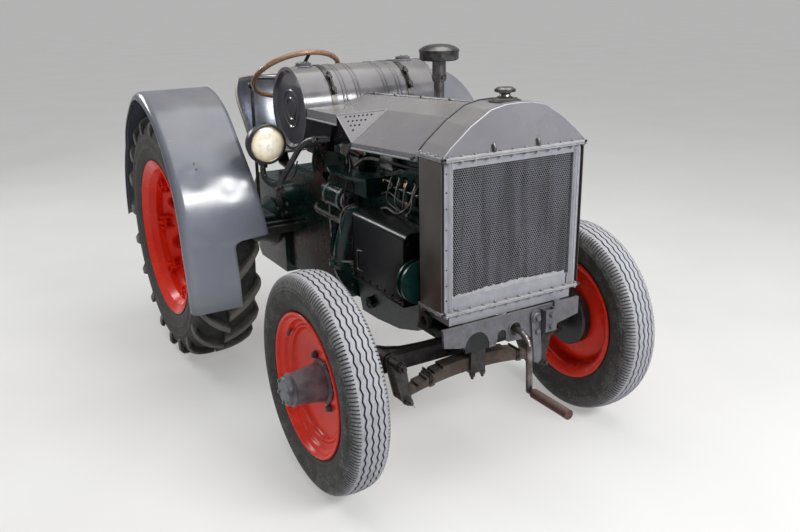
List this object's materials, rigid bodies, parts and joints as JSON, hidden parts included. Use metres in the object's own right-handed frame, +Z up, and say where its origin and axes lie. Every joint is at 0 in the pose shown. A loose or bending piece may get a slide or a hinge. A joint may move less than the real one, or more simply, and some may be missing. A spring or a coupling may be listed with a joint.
{
  "type": "vintage four-wheel farm tractor",
  "caption": "Vintage farm tractor with open-sided engine, tall radiator, transverse fuel drum, deep fenders, dished red wheels, front leaf spring and linked steering.",
  "frame": {"origin": "on the ground under the middle of the overall box", "axes": "+X forward along the tractor, +Y to its left, +Z up"},
  "size_m": [2.815, 1.676, 1.5547],
  "materials": {
    "engine_green": "dark green paint on cast iron",
    "plate_steel": "blue-grey painted steel plate",
    "core_black": "black finned core",
    "hood_grey": "satin grey paint",
    "dark_steel": "dark worn steel",
    "black_sheet": "black enamel",
    "exhaust_rust": "heat-rusted iron",
    "fender_blue_grey": "glossy blue-grey paint",
    "rim_wood": "varnished wood",
    "lamp_glass": "warm clear glass",
    "spring_rust": "red-primed steel",
    "grip_rust": "rusty steel tube",
    "tyre_rubber": "black tyre rubber",
    "wheel_red": "orange-red paint"
  },
  "bodies": {
    "chassis": {"engine_block": "engine_green", "gearbox": "engine_green", "rear_axle": "engine_green", "front_support": "engine_green", "front_plate": "plate_steel", "radiator_core": "core_black", "radiator_frame": "hood_grey", "top_tank": "hood_grey", "radiator_cap": "dark_steel", "hood": "hood_grey", "fuel_tank": "hood_grey", "tank_cradle": "black_sheet", "air_precleaner": "dark_steel", "side_box": "black_sheet", "elbow_housing": "engine_green", "exhaust": "exhaust_rust", "fender_left": "fender_blue_grey", "fender_right": "fender_blue_grey", "platform": "dark_steel", "fender_stays": "dark_steel", "seat": "hood_grey", "seat_spring": "dark_steel", "steering_column": "dark_steel", "hand_lever": "dark_steel", "headlamps": "black_sheet", "lamp_lenses": "lamp_glass", "lamp_brackets": "black_sheet", "drawbar": "dark_steel", "axle_beam": "dark_steel", "leaf_spring": "spring_rust", "spring_mounts": "dark_steel", "starting_crank": "dark_steel", "crank_grip": "grip_rust"},
    "rear_right": {"rear_tyre_right": "tyre_rubber", "rear_wheel_right": "wheel_red"},
    "rear_left": {"rear_tyre_left": "tyre_rubber", "rear_wheel_left": "wheel_red"},
    "front_right": {"front_tyre_right": "tyre_rubber", "front_wheel_right": "wheel_red", "front_hub_right": "dark_steel"},
    "front_left": {"front_tyre_left": "tyre_rubber", "front_wheel_left": "wheel_red", "front_hub_left": "dark_steel"},
    "stub_right": {"knuckle_right": "dark_steel"},
    "stub_left": {"knuckle_left": "dark_steel"},
    "track_rod_body": {"track_rod": "dark_steel"},
    "drag_link_body": {"drag_link": "dark_steel"},
    "drop_arm_body": {"drop_arm": "dark_steel"},
    "steering": {"steering_rim": "rim_wood", "steering_spider": "black_sheet"},
    "fan_rotor": {"fan": "engine_green"}
  },
  "joints": [
    {"name": "rear_right_spin", "type": "hinge", "parent": "chassis", "child": "rear_right", "pos_m": [-0.7475, -0.625, 0.613], "axis": [0, 1, 0], "continuous": true},
    {"name": "rear_left_spin", "type": "hinge", "parent": "chassis", "child": "rear_left", "pos_m": [-0.7475, 0.625, 0.613], "axis": [0, 1, 0], "continuous": true},
    {"name": "stub_right_steer", "type": "hinge", "parent": "chassis", "child": "stub_right", "pos_m": [0.7525, -0.47, 0.42], "axis": [0, 0, 1], "range_deg": [-28, 28]},
    {"name": "stub_left_steer", "type": "hinge", "parent": "chassis", "child": "stub_left", "pos_m": [0.7525, 0.47, 0.42], "axis": [0, 0, 1], "range_deg": [-28, 28]},
    {"name": "front_right_spin", "type": "hinge", "parent": "stub_right", "child": "front_right", "pos_m": [0.7525, -0.61, 0.416], "axis": [0, 1, 0], "continuous": true},
    {"name": "front_left_spin", "type": "hinge", "parent": "stub_left", "child": "front_left", "pos_m": [0.7525, 0.61, 0.416], "axis": [0, 1, 0], "continuous": true},
    {"name": "track_rod_pin", "type": "hinge", "parent": "stub_right", "child": "track_rod_body", "pos_m": [0.6225, -0.47, 0.345], "axis": [0, 0, 1], "range_deg": [-28, 28]},
    {"name": "drag_link_pin", "type": "hinge", "parent": "stub_left", "child": "drag_link_body", "pos_m": [0.7525, 0.26, 0.52], "axis": [0, 0, 1], "range_deg": [-28, 28]},
    {"name": "drop_arm_pivot", "type": "hinge", "parent": "chassis", "child": "drop_arm_body", "pos_m": [-0.0125, 0.239, 0.722], "axis": [0, 1, 0], "range_deg": [-28, 28]},
    {"name": "steering_turn", "type": "hinge", "parent": "chassis", "child": "steering", "pos_m": [-0.4575, -0.118, 1.392], "axis": [-0.549, 0, 0.8358], "range_deg": [-395, 395]},
    {"name": "fan_spin", "type": "hinge", "parent": "chassis", "child": "fan_rotor", "pos_m": [0.8525, 0, 0.96], "axis": [1, 0, 0], "continuous": true}
  ],
  "couplings": [
    {"joint": "stub_left_steer", "follows": "stub_right_steer", "ratio": 1},
    {"joint": "track_rod_pin", "follows": "stub_right_steer", "ratio": -1},
    {"joint": "drag_link_pin", "follows": "stub_right_steer", "ratio": -1},
    {"joint": "drop_arm_pivot", "follows": "stub_right_steer", "ratio": -1},
    {"joint": "steering_turn", "follows": "stub_right_steer", "ratio": 14}
  ]
}
